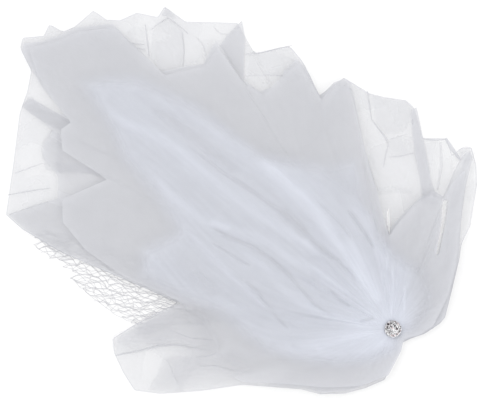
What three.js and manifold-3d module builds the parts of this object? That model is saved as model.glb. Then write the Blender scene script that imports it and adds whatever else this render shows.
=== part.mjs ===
// A tulle bridal veil laid flat: four tiers of tulle and a coarse net, all gathered into
// one point over a small hair comb, under a round brooch of cut stones.
// Millimetres, +Z up. The origin is the middle of the comb's underside, below the brooch.
// Turns are in degrees from +X towards +Y. Reaches are shares of VEIL_LENGTH.

import * as THREE from 'three';
import { mergeVertices } from 'three/addons/utils/BufferGeometryUtils.js';
import Module from 'manifold-3d';

const wasm = await Module();
wasm.setup();

// Driving sizes
const VEIL_LENGTH = 708; // gather to the farthest hem corner
const TULLE_WALL = 1.0;
const SEAT_GAP = 0.3; // between pieces that lie on each other

const GATHER_RADIUS = 14; // flattened collar of every tier, under the brooch
const COLLAR_HOLE_RADIUS = 3.2;
const LOFT_RADIUS = 150; // where the tiers stand farthest apart
const LOFT_PITCH = 11; // height from tier to tier there
const HEM_PITCH = 6.5; // height from tier to tier at the farthest hem
const FLOOR_RADIUS = 210; // where the lowest tier has come down from the comb
const RUFFLE_ROOM = 1.5; // kept free between a crest and the tier above

const COMB_WIDTH = 50;
const COMB_DEPTH = 31;
const COMB_HEIGHT = 3;
const COMB_SPINE_DEPTH = 9;
const COMB_TURN = 145; // the way that the teeth point, under the fan
const COMB_TEETH = 9;
const COMB_TOOTH_SHARE = 0.5; // of a tooth's pitch
const COMB_TIP_TAPER = 0.2; // taken off each side of a tooth at its tip, of its width
const COMB_CLEAR_RADIUS = 42; // the tiers stay above the comb as far as this

const NET_WALL = 1.0;
const NET_CELL_LONG = 18;
const NET_CELL_WIDE = 12;
const NET_STRAND = 2.0;
const NET_LEAN = 171; // the way that the long diagonal of a cell points
const NET_OPEN_FROM = 0.524; // share of VEIL_LENGTH: the net is open beyond this reach
const NET_EDGE = 2.2; // solid border round the open cells
const COLLAR_SIDES = 14; // straight stretches of the net's collar outside its fan
const HOLE_CURVE_STEPS = 3; // steps in each quarter of the net's hole

const BROOCH_RADIUS = 12.75;
const BROOCH_PLATE = 1.6;
const BROOCH_CROWN = 1.5; // rise of the plate from rim to middle
const SHANK_RADIUS = 2.5;
const STONE_GAP = 0.3;
const COLLET_WALL = 0.3;
const COLLET_CLEAR = 0.05; // between the centre's cup and the inner ring's
const CENTRE_STONE_RADIUS = 2.8;
const INNER_STONE_RADIUS = 1.6;
const OUTER_STONE_RADIUS = 1.9;
const INNER_STONES = 6;
const OUTER_STONES = 12;
const CLAW_RADIUS = 0.5;
const CLAW_HEIGHT = 2.4;
const CLAW_INSET = 1.4; // from the brooch's rim to a claw's middle
const STONE_SIDES = 8;
const CLAW_SIDES = 5;
const PLATE_SIDES = 20;
const PLATE_STEPS = 3; // from the plate's rim to its middle

// Proportions of a cut stone, as shares of its radius
const STONE_GIRDLE = 0.12;
const STONE_POINT = 0.75; // depth of the point under the girdle's middle
const STONE_TABLE = 0.58; // radius of the table
const STONE_CROWN = 0.42; // height of the table over the girdle's middle
const STONE_STAND = 0.35; // the girdle's middle over the plate

// The rings of a tier: share of the way from collar to hem, how much of the fold and of
// the hem's ruffle shows there.
const RINGS = [
  { way: 0.0, fold: 0.0, hem: 0.0 },
  { way: 0.1, fold: 0.8, hem: 0.0 },
  { way: 0.28, fold: 1.0, hem: 0.0 },
  { way: 0.52, fold: 0.6, hem: 0.4 },
  { way: 0.78, fold: 0.2, hem: 0.8 },
  { way: 1.0, fold: 0.0, hem: 1.0 },
];

// One row for each radial fold: its turn, its reach, and its rise as a share of the
// tier's own height, near the gather (fold) and at the hem (hem).
const LOWER_FOLDS = [
  { turn: -82, reach: 0.06, fold: 0.2, hem: 0.3 },
  { turn: -63, reach: 0.036, fold: 0.8, hem: 0.3 },
  { turn: -30, reach: 0.043, fold: 0.3, hem: 0.8 },
  { turn: -9, reach: 0.069, fold: 0.9, hem: 0.3 },
  { turn: 6, reach: 0.1, fold: 0.2, hem: 0.7 },
  { turn: 12, reach: 0.114, fold: 0.9, hem: 0.2 },
  { turn: 33, reach: 0.15, fold: 0.2, hem: 0.8 },
  { turn: 46, reach: 0.204, fold: 0.9, hem: 0.1 },
  { turn: 51, reach: 0.233, fold: 0.3, hem: 0.6 },
  { turn: 53, reach: 0.273, fold: 0.6, hem: 0.9 },
  { turn: 59.5, reach: 0.354, fold: 0.2, hem: 0.1 },
  { turn: 63, reach: 0.391, fold: 0.7, hem: 0.6 },
  { turn: 66.5, reach: 0.42, fold: 0.3, hem: 0.9 },
  { turn: 69, reach: 0.412, fold: 0.8, hem: 0.2 },
  { turn: 71, reach: 0.39, fold: 0.2, hem: 0.0 },
  { turn: 74, reach: 0.42, fold: 0.7, hem: 0.9 },
  { turn: 81, reach: 0.41, fold: 0.8, hem: 0.0 },
  { turn: 84.5, reach: 0.472, fold: 0.2, hem: 0.7 },
  { turn: 86.5, reach: 0.486, fold: 0.9, hem: 0.1 },
  { turn: 92, reach: 0.492, fold: 0.2, hem: 0.6 },
  { turn: 95.5, reach: 0.502, fold: 0.8, hem: 0.1 },
  { turn: 99, reach: 0.527, fold: 0.3, hem: 0.3 },
  { turn: 101, reach: 0.543, fold: 0.9, hem: 0.9 },
  { turn: 107.5, reach: 0.519, fold: 0.8, hem: 0.0 },
  { turn: 108.5, reach: 0.597, fold: 0.3, hem: 0.5 },
  { turn: 110, reach: 0.639, fold: 0.9, hem: 0.8 },
  { turn: 112, reach: 0.644, fold: 0.3, hem: 0.1 },
  { turn: 115.5, reach: 0.65, fold: 0.8, hem: 0.6 },
  { turn: 116.6, reach: 0.655, fold: 0.2, hem: 0.0 },
  { turn: 116.9, reach: 0.728, fold: 0.6, hem: 0.7 },
  { turn: 120, reach: 0.752, fold: 0.9, hem: 0.2 },
  { turn: 124, reach: 0.787, fold: 0.2, hem: 0.0 },
  { turn: 125.3, reach: 0.839, fold: 0.8, hem: 0.9 },
  { turn: 127, reach: 0.829, fold: 0.3, hem: 0.2 },
  { turn: 129, reach: 0.864, fold: 0.9, hem: 0.7 },
  { turn: 131.5, reach: 0.875, fold: 0.2, hem: 0.1 },
  { turn: 132.8, reach: 0.895, fold: 0.7, hem: 0.2 },
  { turn: 133.2, reach: 0.928, fold: 0.3, hem: 0.8 },
  { turn: 136.5, reach: 0.932, fold: 0.9, hem: 0.1 },
  { turn: 138, reach: 0.943, fold: 0.2, hem: 0.0 },
  { turn: 138.4, reach: 0.975, fold: 0.5, hem: 0.8 },
  { turn: 140, reach: 0.968, fold: 0.9, hem: 0.3 },
  { turn: 141.8, reach: 1.0, fold: 0.3, hem: 0.9 },
  { turn: 143, reach: 0.991, fold: 0.8, hem: 0.2 },
  { turn: 144.5, reach: 0.943, fold: 0.2, hem: 0.6 },
  { turn: 147, reach: 0.926, fold: 0.9, hem: 0.1 },
  { turn: 150, reach: 0.915, fold: 0.3, hem: 0.7 },
  { turn: 156.5, reach: 0.879, fold: 0.9, hem: 0.1 },
  { turn: 163.6, reach: 0.856, fold: 0.5, hem: 0.8 },
  { turn: 165, reach: 0.814, fold: 0.9, hem: 0.4 },
  { turn: 167, reach: 0.724, fold: 0.5, hem: 0.7 },
  { turn: 168.5, reach: 0.634, fold: 0.9, hem: 0.4 },
  { turn: 170.8, reach: 0.53, fold: 0.5, hem: 0.7 },
  { turn: 173.2, reach: 0.46, fold: 0.9, hem: 0.4 },
  { turn: 176, reach: 0.5, fold: 0.5, hem: 0.8 },
  { turn: 179.5, reach: 0.554, fold: 0.9, hem: 0.4 },
  { turn: 182, reach: 0.595, fold: 0.5, hem: 0.8 },
  { turn: 185, reach: 0.594, fold: 0.9, hem: 0.3 },
  { turn: 189, reach: 0.581, fold: 0.3, hem: 0.6 },
  { turn: 193.5, reach: 0.564, fold: 0.8, hem: 0.0 },
  { turn: 195.7, reach: 0.512, fold: 0.3, hem: 0.4 },
  { turn: 198, reach: 0.426, fold: 0.9, hem: 0.8 },
  { turn: 200.5, reach: 0.341, fold: 0.2, hem: 0.0 },
  { turn: 213.5, reach: 0.233, fold: 0.9, hem: 0.6 },
  { turn: 222, reach: 0.208, fold: 0.2, hem: 0.1 },
  { turn: 233.5, reach: 0.171, fold: 0.9, hem: 0.7 },
  { turn: 245, reach: 0.14, fold: 0.2, hem: 0.1 },
  { turn: 261, reach: 0.11, fold: 0.9, hem: 0.6 },
];

const MIDDLE_FOLDS = [
  { turn: -78, reach: 0.055, fold: 0.8, hem: 0.5 },
  { turn: -50, reach: 0.034, fold: 0.3, hem: 0.8 },
  { turn: -20, reach: 0.048, fold: 0.8, hem: 0.2 },
  { turn: 0, reach: 0.084, fold: 0.2, hem: 0.8 },
  { turn: 12, reach: 0.112, fold: 0.9, hem: 0.2 },
  { turn: 33.5, reach: 0.148, fold: 0.3, hem: 0.7 },
  { turn: 46, reach: 0.2, fold: 0.8, hem: 0.2 },
  { turn: 57.7, reach: 0.268, fold: 0.2, hem: 0.8 },
  { turn: 62.8, reach: 0.335, fold: 0.8, hem: 0.2 },
  { turn: 65.2, reach: 0.402, fold: 0.3, hem: 0.7 },
  { turn: 67.3, reach: 0.408, fold: 0.9, hem: 0.1 },
  { turn: 68.7, reach: 0.385, fold: 0.3, hem: 0.4 },
  { turn: 69.2, reach: 0.3, fold: 0.2, hem: 0.5 },
  { turn: 73.9, reach: 0.306, fold: 0.8, hem: 0.1 },
  { turn: 78.4, reach: 0.285, fold: 0.2, hem: 0.8 },
  { turn: 84, reach: 0.25, fold: 0.9, hem: 0.2 },
  { turn: 89, reach: 0.226, fold: 0.3, hem: 0.1 },
  { turn: 93, reach: 0.206, fold: 0.7, hem: 0.4 },
  { turn: 94.6, reach: 0.222, fold: 0.2, hem: 0.1 },
  { turn: 97, reach: 0.31, fold: 0.8, hem: 0.6 },
  { turn: 98.9, reach: 0.386, fold: 0.3, hem: 0.2 },
  { turn: 99.6, reach: 0.53, fold: 0.9, hem: 0.8 },
  { turn: 101, reach: 0.54, fold: 0.2, hem: 0.2 },
  { turn: 103.5, reach: 0.537, fold: 0.8, hem: 0.6 },
  { turn: 107.4, reach: 0.516, fold: 0.3, hem: 0.0 },
  { turn: 108.2, reach: 0.57, fold: 0.9, hem: 0.8 },
  { turn: 109.5, reach: 0.608, fold: 0.3, hem: 0.3 },
  { turn: 113, reach: 0.593, fold: 0.8, hem: 0.1 },
  { turn: 115.4, reach: 0.574, fold: 0.2, hem: 0.1 },
  { turn: 119.2, reach: 0.576, fold: 0.6, hem: 0.3 },
  { turn: 121, reach: 0.615, fold: 0.9, hem: 0.6 },
  { turn: 121.4, reach: 0.716, fold: 0.3, hem: 0.1 },
  { turn: 123.3, reach: 0.706, fold: 0.8, hem: 0.7 },
  { turn: 125.5, reach: 0.69, fold: 0.2, hem: 0.1 },
  { turn: 128.7, reach: 0.712, fold: 0.9, hem: 0.5 },
  { turn: 132.1, reach: 0.735, fold: 0.3, hem: 0.0 },
  { turn: 132.5, reach: 0.878, fold: 0.7, hem: 0.6 },
  { turn: 136.4, reach: 0.927, fold: 0.9, hem: 0.1 },
  { turn: 138.4, reach: 0.94, fold: 0.3, hem: 0.6 },
  { turn: 140.7, reach: 0.962, fold: 0.8, hem: 0.2 },
  { turn: 142.3, reach: 0.99, fold: 0.3, hem: 0.8 },
  { turn: 143.3, reach: 0.982, fold: 0.9, hem: 0.3 },
  { turn: 144.4, reach: 0.938, fold: 0.2, hem: 0.6 },
  { turn: 145.4, reach: 0.904, fold: 0.8, hem: 0.2 },
  { turn: 147, reach: 0.826, fold: 0.3, hem: 0.1 },
  { turn: 147.7, reach: 0.91, fold: 0.6, hem: 0.6 },
  { turn: 149.1, reach: 0.915, fold: 0.9, hem: 0.2 },
  { turn: 149.7, reach: 0.835, fold: 0.3, hem: 0.5 },
  { turn: 152.3, reach: 0.836, fold: 0.9, hem: 0.1 },
  { turn: 153.8, reach: 0.829, fold: 0.3, hem: 0.6 },
  { turn: 155.5, reach: 0.78, fold: 0.8, hem: 0.1 },
  { turn: 158.7, reach: 0.762, fold: 0.2, hem: 0.5 },
  { turn: 163.5, reach: 0.85, fold: 0.8, hem: 0.2 },
  { turn: 165.2, reach: 0.8, fold: 0.3, hem: 0.6 },
  { turn: 167, reach: 0.716, fold: 0.9, hem: 0.2 },
  { turn: 168.6, reach: 0.62, fold: 0.3, hem: 0.6 },
  { turn: 170.8, reach: 0.522, fold: 0.8, hem: 0.1 },
  { turn: 173, reach: 0.452, fold: 0.2, hem: 0.6 },
  { turn: 176, reach: 0.492, fold: 0.8, hem: 0.2 },
  { turn: 179.6, reach: 0.546, fold: 0.3, hem: 0.7 },
  { turn: 182, reach: 0.586, fold: 0.9, hem: 0.2 },
  { turn: 184.8, reach: 0.585, fold: 0.3, hem: 0.6 },
  { turn: 185.4, reach: 0.472, fold: 0.8, hem: 0.1 },
  { turn: 187, reach: 0.495, fold: 0.3, hem: 0.5 },
  { turn: 190, reach: 0.507, fold: 0.9, hem: 0.1 },
  { turn: 192.4, reach: 0.527, fold: 0.2, hem: 0.5 },
  { turn: 193.9, reach: 0.548, fold: 0.8, hem: 0.1 },
  { turn: 195.7, reach: 0.505, fold: 0.3, hem: 0.5 },
  { turn: 198, reach: 0.418, fold: 0.9, hem: 0.2 },
  { turn: 200.6, reach: 0.333, fold: 0.2, hem: 0.6 },
  { turn: 213.5, reach: 0.226, fold: 0.9, hem: 0.2 },
  { turn: 222, reach: 0.201, fold: 0.2, hem: 0.6 },
  { turn: 235, reach: 0.158, fold: 0.8, hem: 0.2 },
  { turn: 258, reach: 0.106, fold: 0.3, hem: 0.6 },
];

const INNER_FOLDS = [
  { turn: -70, reach: 0.05, fold: 0.3, hem: 0.4 },
  { turn: -50, reach: 0.034, fold: 0.8, hem: 0.7 },
  { turn: -30, reach: 0.038, fold: 0.3, hem: 0.2 },
  { turn: -12, reach: 0.058, fold: 0.8, hem: 0.6 },
  { turn: 4, reach: 0.085, fold: 0.2, hem: 0.2 },
  { turn: 33, reach: 0.14, fold: 0.9, hem: 0.7 },
  { turn: 46, reach: 0.19, fold: 0.2, hem: 0.1 },
  { turn: 57, reach: 0.255, fold: 0.8, hem: 0.8 },
  { turn: 63, reach: 0.325, fold: 0.3, hem: 0.2 },
  { turn: 66, reach: 0.37, fold: 0.8, hem: 0.6 },
  { turn: 68.3, reach: 0.33, fold: 0.2, hem: 0.1 },
  { turn: 69.4, reach: 0.29, fold: 0.8, hem: 0.5 },
  { turn: 74.5, reach: 0.296, fold: 0.3, hem: 0.1 },
  { turn: 80, reach: 0.27, fold: 0.9, hem: 0.7 },
  { turn: 87, reach: 0.228, fold: 0.3, hem: 0.1 },
  { turn: 93, reach: 0.198, fold: 0.8, hem: 0.6 },
  { turn: 97.2, reach: 0.3, fold: 0.2, hem: 0.1 },
  { turn: 99.3, reach: 0.39, fold: 0.5, hem: 0.2 },
  { turn: 100.2, reach: 0.522, fold: 0.3, hem: 0.2 },
  { turn: 103.2, reach: 0.53, fold: 0.8, hem: 0.8 },
  { turn: 107.5, reach: 0.508, fold: 0.3, hem: 0.1 },
  { turn: 109.4, reach: 0.598, fold: 0.8, hem: 0.7 },
  { turn: 113.5, reach: 0.585, fold: 0.2, hem: 0.1 },
  { turn: 119, reach: 0.566, fold: 0.8, hem: 0.3 },
  { turn: 121.3, reach: 0.605, fold: 0.3, hem: 0.2 },
  { turn: 121.8, reach: 0.702, fold: 0.8, hem: 0.7 },
  { turn: 125.5, reach: 0.683, fold: 0.3, hem: 0.1 },
  { turn: 129, reach: 0.704, fold: 0.8, hem: 0.4 },
  { turn: 132, reach: 0.722, fold: 0.2, hem: 0.1 },
  { turn: 132.8, reach: 0.868, fold: 0.8, hem: 0.7 },
  { turn: 136.5, reach: 0.915, fold: 0.3, hem: 0.1 },
  { turn: 139, reach: 0.932, fold: 0.8, hem: 0.6 },
  { turn: 142.4, reach: 0.975, fold: 0.2, hem: 0.1 },
  { turn: 144, reach: 0.935, fold: 0.9, hem: 0.7 },
  { turn: 145.6, reach: 0.888, fold: 0.3, hem: 0.2 },
  { turn: 147.3, reach: 0.81, fold: 0.8, hem: 0.1 },
  { turn: 149, reach: 0.82, fold: 0.2, hem: 0.5 },
  { turn: 151.6, reach: 0.795, fold: 0.9, hem: 0.1 },
  { turn: 152.3, reach: 0.682, fold: 0.3, hem: 0.4 },
  { turn: 155.4, reach: 0.714, fold: 0.8, hem: 0.1 },
  { turn: 158.6, reach: 0.752, fold: 0.2, hem: 0.6 },
  { turn: 162.1, reach: 0.734, fold: 0.9, hem: 0.1 },
  { turn: 165.6, reach: 0.67, fold: 0.3, hem: 0.6 },
  { turn: 168.8, reach: 0.585, fold: 0.8, hem: 0.1 },
  { turn: 170.8, reach: 0.503, fold: 0.2, hem: 0.6 },
  { turn: 173, reach: 0.446, fold: 0.8, hem: 0.1 },
  { turn: 178, reach: 0.43, fold: 0.3, hem: 0.7 },
  { turn: 185, reach: 0.405, fold: 0.9, hem: 0.2 },
  { turn: 190.5, reach: 0.42, fold: 0.2, hem: 0.6 },
  { turn: 194, reach: 0.372, fold: 0.8, hem: 0.1 },
  { turn: 199.4, reach: 0.335, fold: 0.3, hem: 0.6 },
  { turn: 206, reach: 0.26, fold: 0.9, hem: 0.2 },
  { turn: 220, reach: 0.19, fold: 0.2, hem: 0.6 },
  { turn: 240, reach: 0.138, fold: 0.8, hem: 0.1 },
  { turn: 264, reach: 0.098, fold: 0.3, hem: 0.6 },
];

const UPPER_FOLDS = [
  { turn: -70, reach: 0.05, fold: 0.8, hem: 0.5 },
  { turn: -50, reach: 0.034, fold: 0.2, hem: 0.2 },
  { turn: -30, reach: 0.036, fold: 0.8, hem: 0.6 },
  { turn: -10, reach: 0.055, fold: 0.2, hem: 0.2 },
  { turn: 15, reach: 0.085, fold: 0.8, hem: 0.7 },
  { turn: 38, reach: 0.12, fold: 0.3, hem: 0.2 },
  { turn: 60, reach: 0.15, fold: 0.9, hem: 0.6 },
  { turn: 85, reach: 0.17, fold: 0.2, hem: 0.6 },
  { turn: 95, reach: 0.206, fold: 0.9, hem: 0.5 },
  { turn: 101, reach: 0.375, fold: 0.2, hem: 0.7 },
  { turn: 107, reach: 0.38, fold: 0.9, hem: 0.2 },
  { turn: 112, reach: 0.386, fold: 0.2, hem: 0.6 },
  { turn: 118, reach: 0.417, fold: 0.8, hem: 0.1 },
  { turn: 122, reach: 0.44, fold: 0.2, hem: 0.5 },
  { turn: 126, reach: 0.47, fold: 0.9, hem: 0.1 },
  { turn: 130, reach: 0.633, fold: 0.1, hem: 0.6 },
  { turn: 134.5, reach: 0.765, fold: 0.9, hem: 0.1 },
  { turn: 138, reach: 0.815, fold: 0.2, hem: 0.6 },
  { turn: 142, reach: 0.858, fold: 0.9, hem: 0.2 },
  { turn: 145.5, reach: 0.742, fold: 0.2, hem: 0.6 },
  { turn: 149, reach: 0.674, fold: 0.8, hem: 0.1 },
  { turn: 152, reach: 0.583, fold: 0.2, hem: 0.5 },
  { turn: 156, reach: 0.521, fold: 0.9, hem: 0.1 },
  { turn: 162, reach: 0.57, fold: 0.2, hem: 0.6 },
  { turn: 169, reach: 0.557, fold: 0.9, hem: 0.1 },
  { turn: 172.5, reach: 0.466, fold: 0.2, hem: 0.5 },
  { turn: 176, reach: 0.379, fold: 0.8, hem: 0.1 },
  { turn: 184, reach: 0.32, fold: 0.2, hem: 0.6 },
  { turn: 191, reach: 0.283, fold: 0.9, hem: 0.1 },
  { turn: 201, reach: 0.212, fold: 0.2, hem: 0.6 },
  { turn: 216, reach: 0.15, fold: 0.8, hem: 0.2 },
  { turn: 238, reach: 0.095, fold: 0.2, hem: 0.6 },
  { turn: 270, reach: 0.06, fold: 0.7, hem: 0.2 },
];

// The coarse net's fan, from one straight edge to the other.
const NET_FAN = [
  { turn: 161, reach: 0.6 },
  { turn: 163.5, reach: 0.7 },
  { turn: 166, reach: 0.786 },
  { turn: 167.6, reach: 0.781 },
  { turn: 169, reach: 0.74 },
  { turn: 169.7, reach: 0.702 },
  { turn: 173.3, reach: 0.667 },
  { turn: 175.2, reach: 0.633 },
  { turn: 176.6, reach: 0.6 },
  { turn: 178.9, reach: 0.568 },
  { turn: 182, reach: 0.54 },
  { turn: 185, reach: 0.515 },
  { turn: 187, reach: 0.47 },
];

// Stack of collars on the comb, and of the brooch on the collars
const COLLAR_PITCH = TULLE_WALL + SEAT_GAP;
const NET_COLLAR_LOW = COMB_HEIGHT + SEAT_GAP;
const LOWER_COLLAR_LOW = NET_COLLAR_LOW + NET_WALL + SEAT_GAP;
const TIERS = [
  { name: 'lower_tier', folds: LOWER_FOLDS, color: 0xf1f2f3 },
  { name: 'middle_tier', folds: MIDDLE_FOLDS, color: 0xe9eaee },
  { name: 'inner_tier', folds: INNER_FOLDS, color: 0xe2e4ea },
  { name: 'upper_tier', folds: UPPER_FOLDS, color: 0xdcdfe9 },
];
const BROOCH_LOW = LOWER_COLLAR_LOW + TIERS.length * COLLAR_PITCH;

const lerp = THREE.MathUtils.lerp;
const radians = THREE.MathUtils.degToRad;

// Share of the way from a to b, held between 0 and 1
function wayBetween(a, b, x) {
  return THREE.MathUtils.clamp((x - a) / (b - a), 0, 1);
}

// Height from one tier to the next, at a distance from the gather
function tierPitch(radius) {
  const opening = lerp(COLLAR_PITCH, LOFT_PITCH, wayBetween(GATHER_RADIUS, LOFT_RADIUS, radius));
  const closing = (LOFT_PITCH - HEM_PITCH) * wayBetween(LOFT_RADIUS, VEIL_LENGTH, radius);
  return opening - closing;
}

// Underside of the lowest tier: over the comb, then down to the floor
function lowestUnderside(radius) {
  return LOWER_COLLAR_LOW * (1 - wayBetween(COMB_CLEAR_RADIUS, FLOOR_RADIUS, radius));
}

function polar(radius, turn, height) {
  return [radius * Math.cos(radians(turn)), radius * Math.sin(radians(turn)), height];
}

function closedGeometry(points, faces) {
  const geometry = new THREE.BufferGeometry();
  geometry.setAttribute('position', new THREE.Float32BufferAttribute(points.flat(), 3));
  geometry.setIndex(faces.flat());
  geometry.computeVertexNormals();
  return geometry;
}

// A closed sheet round the gather. rows[column][ring] holds the underside's points.
function ringSheet(rows, wall) {
  const columns = rows.length;
  const rings = rows[0].length;
  const points = [];
  for (const row of rows) {
    for (const [x, y, low] of row) {
      points.push([x, y, low], [x, y, low + wall]);
    }
  }
  const under = (i, j) => 2 * ((i % columns) * rings + j);
  const over = (i, j) => under(i, j) + 1;
  const faces = [];
  const quad = (a, b, c, d) => faces.push([a, b, c], [a, c, d]);
  for (let i = 0; i < columns; i += 1) {
    for (let j = 0; j < rings - 1; j += 1) {
      quad(over(i, j), over(i, j + 1), over(i + 1, j + 1), over(i + 1, j));
      quad(under(i, j), under(i + 1, j), under(i + 1, j + 1), under(i, j + 1));
    }
    const last = rings - 1;
    quad(under(i, last), under(i + 1, last), over(i + 1, last), over(i, last));
    quad(under(i, 0), over(i, 0), over(i + 1, 0), under(i + 1, 0));
  }
  return closedGeometry(points, faces);
}

function tierGeometry(folds, level) {
  const collarLow = LOWER_COLLAR_LOW + level * COLLAR_PITCH;
  const rows = folds.map((row) => {
    const reach = row.reach * VEIL_LENGTH;
    const column = [polar(COLLAR_HOLE_RADIUS, row.turn, collarLow)];
    for (const ring of RINGS) {
      const radius = lerp(GATHER_RADIUS, reach, ring.way);
      const height = Math.max(tierPitch(radius) - TULLE_WALL - RUFFLE_ROOM, 0);
      const rise = ring.fold * row.fold + ring.hem * row.hem;
      const low = lowestUnderside(radius) + level * tierPitch(radius) + rise * height;
      column.push(polar(radius, row.turn, low));
    }
    return column;
  });
  return ringSheet(rows, TULLE_WALL);
}

function solidFrom(geometry) {
  const bare = geometry.clone();
  bare.deleteAttribute('normal');
  bare.deleteAttribute('uv');
  const merged = mergeVertices(bare);
  return new wasm.Manifold(new wasm.Mesh({
    numProp: 3,
    vertProperties: new Float32Array(merged.attributes.position.array),
    triVerts: new Uint32Array(merged.index.array),
  }));
}

function geometryFrom(solid) {
  const mesh = solid.getMesh();
  const geometry = new THREE.BufferGeometry();
  geometry.setAttribute('position', new THREE.Float32BufferAttribute(mesh.vertProperties, 3));
  geometry.setIndex(Array.from(mesh.triVerts));
  geometry.computeVertexNormals();
  return geometry;
}

// Reach of the net's fan at a turn, or 0 outside it
function netReach(turn) {
  for (let i = 0; i + 1 < NET_FAN.length; i += 1) {
    const [from, to] = [NET_FAN[i], NET_FAN[i + 1]];
    if (turn >= from.turn && turn <= to.turn) {
      return VEIL_LENGTH * lerp(from.reach, to.reach, wayBetween(from.turn, to.turn, turn));
    }
  }
  return 0;
}

function insideNet(x, y) {
  const turn = THREE.MathUtils.radToDeg(Math.atan2(y, x));
  const reach = netReach((turn + 360) % 360);
  const radius = Math.hypot(x, y);
  return radius > NET_OPEN_FROM * VEIL_LENGTH && radius < reach;
}

// The four corners of a cell, larger than its gap by a border
function cellCorners(along, across, border) {
  const long = NET_CELL_LONG / 2 - NET_STRAND + border;
  const wide = NET_CELL_WIDE / 2 - NET_STRAND * NET_CELL_WIDE / NET_CELL_LONG + border;
  const lean = radians(NET_LEAN);
  const corners = [[long, 0], [0, wide], [-long, 0], [0, -wide]];
  return corners.map(([u, v]) => new THREE.Vector2(
    (along + u) * Math.cos(lean) - (across + v) * Math.sin(lean),
    (along + u) * Math.sin(lean) + (across + v) * Math.cos(lean),
  ));
}

function netGaps() {
  const gaps = [];
  const steps = Math.ceil(2 * VEIL_LENGTH / NET_CELL_LONG);
  for (let i = 0; i < steps; i += 1) {
    for (let j = -steps; j <= steps; j += 1) {
      const along = i * NET_CELL_LONG / 2;
      const across = (j + (i % 2) / 2) * NET_CELL_WIDE;
      const reached = cellCorners(along, across, NET_EDGE);
      if (reached.every((corner) => insideNet(corner.x, corner.y))) {
        gaps.push(cellCorners(along, across, 0));
      }
    }
  }
  return gaps;
}

// Underside of the net: over the comb, then flat on the floor
function netUnderside(radius) {
  return Math.max(lowestUnderside(radius) - NET_WALL - SEAT_GAP, 0);
}

function netGeometry() {
  const first = NET_FAN[0].turn;
  const last = NET_FAN.at(-1).turn;
  const landing = lerp(COMB_CLEAR_RADIUS, FLOOR_RADIUS,
    1 - (NET_WALL + SEAT_GAP) / LOWER_COLLAR_LOW);
  const edge = [GATHER_RADIUS, COMB_CLEAR_RADIUS, landing];
  const outline = edge.map((radius) => polar(radius, first, 0));
  for (const { turn, reach } of NET_FAN) {
    outline.push(polar(reach * VEIL_LENGTH, turn, 0));
  }
  for (const radius of edge.toReversed()) {
    outline.push(polar(radius, last, 0));
  }
  for (let i = 1; i < COLLAR_SIDES; i += 1) {
    outline.push(polar(GATHER_RADIUS, lerp(last, first + 360, i / COLLAR_SIDES), 0));
  }
  const shape = new THREE.Shape(outline.map(([x, y]) => new THREE.Vector2(x, y)));
  const hole = new THREE.Path();
  hole.absarc(0, 0, COLLAR_HOLE_RADIUS, 0, 2 * Math.PI, true);
  shape.holes.push(hole);
  for (const gap of netGaps()) {
    shape.holes.push(new THREE.Path(gap.toReversed()));
  }
  const geometry = new THREE.ExtrudeGeometry(shape, {
    depth: NET_WALL, bevelEnabled: false, curveSegments: HOLE_CURVE_STEPS,
  });
  const position = geometry.attributes.position;
  for (let i = 0; i < position.count; i += 1) {
    const radius = Math.hypot(position.getX(i), position.getY(i));
    position.setZ(i, position.getZ(i) + netUnderside(radius));
  }
  geometry.computeVertexNormals();
  return geometry;
}

function combGeometry() {
  const half = COMB_WIDTH / 2;
  const back = -COMB_SPINE_DEPTH / 2;
  const root = COMB_SPINE_DEPTH / 2;
  const tip = COMB_DEPTH - COMB_SPINE_DEPTH / 2;
  const pitch = COMB_WIDTH / (COMB_TEETH - 1 + COMB_TOOTH_SHARE);
  const tooth = pitch * COMB_TOOTH_SHARE;
  const shape = new THREE.Shape();
  shape.moveTo(back, half);
  shape.lineTo(back, -half);
  for (let i = 0; i < COMB_TEETH; i += 1) {
    const side = -half + i * pitch;
    shape.lineTo(i === 0 ? tip : root, side);
    shape.lineTo(tip, side + tooth * COMB_TIP_TAPER);
    shape.lineTo(tip, side + tooth * (1 - COMB_TIP_TAPER));
    shape.lineTo(i === COMB_TEETH - 1 ? tip : root, side + tooth);
  }
  shape.closePath();
  return new THREE.ExtrudeGeometry(shape, { depth: COMB_HEIGHT, bevelEnabled: false });
}

// A closed solid turned about Z from a profile that starts and ends on the axis
function turned(profile, sides) {
  const points = profile.map(([radius, height]) => new THREE.Vector2(radius, height));
  return new THREE.LatheGeometry(points, sides).rotateX(Math.PI / 2);
}

// Point up, table on top, origin in the middle of the girdle
function stoneProfile(radius, grown) {
  const girdle = STONE_GIRDLE * radius;
  const table = STONE_CROWN * radius + grown;
  return [
    [0, -STONE_POINT * radius - grown],
    [radius + grown, -girdle / 2],
    [radius + grown, girdle / 2 + grown],
    [STONE_TABLE * radius + grown / 2, table],
    [0, table],
  ];
}

function plateTop(radius) {
  const share = radius / BROOCH_RADIUS;
  return BROOCH_LOW + BROOCH_PLATE + BROOCH_CROWN * (1 - share * share);
}

// Every stone's name, radius, distance from the middle and turn
function stoneSeats() {
  const cup = STONE_GAP + COLLET_WALL;
  const innerRing = CENTRE_STONE_RADIUS + INNER_STONE_RADIUS + 2 * cup + COLLET_CLEAR;
  const outerRing = BROOCH_RADIUS - OUTER_STONE_RADIUS - cup;
  const seats = [{ name: 'stone_centre', radius: CENTRE_STONE_RADIUS, away: 0, turn: 0 }];
  for (let i = 0; i < INNER_STONES; i += 1) {
    const turn = i * 360 / INNER_STONES;
    seats.push({ name: `stone_inner_${i + 1}`, radius: INNER_STONE_RADIUS, away: innerRing, turn });
  }
  for (let i = 0; i < OUTER_STONES; i += 1) {
    const turn = (i + 0.5) * 360 / OUTER_STONES;
    seats.push({ name: `stone_outer_${i + 1}`, radius: OUTER_STONE_RADIUS, away: outerRing, turn });
  }
  return seats;
}

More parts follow.
